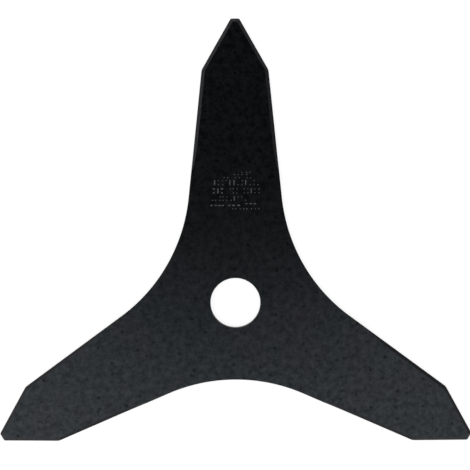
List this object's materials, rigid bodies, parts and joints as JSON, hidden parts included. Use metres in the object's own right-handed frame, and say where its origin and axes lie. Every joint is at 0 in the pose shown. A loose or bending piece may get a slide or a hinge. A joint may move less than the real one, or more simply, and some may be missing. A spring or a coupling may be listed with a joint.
{
  "type": "brush cutter blade",
  "caption": "Flat black steel brush cutter knife: straight pointed arms joined by hollow arcs, ground bevels at the cutting edges and a round centre bore.",
  "frame": {"origin": "axis of the centre bore, at the underside of the blade", "axes": "+Z out of the upper face along the bore's axis, +Y along the first arm, +X across the other two arms"},
  "size_m": [0.2442, 0.212, 0.003],
  "materials": {
    "black_steel": "satin"
  },
  "bodies": {
    "root": {"blade": "black_steel"}
  },
  "joints": []
}
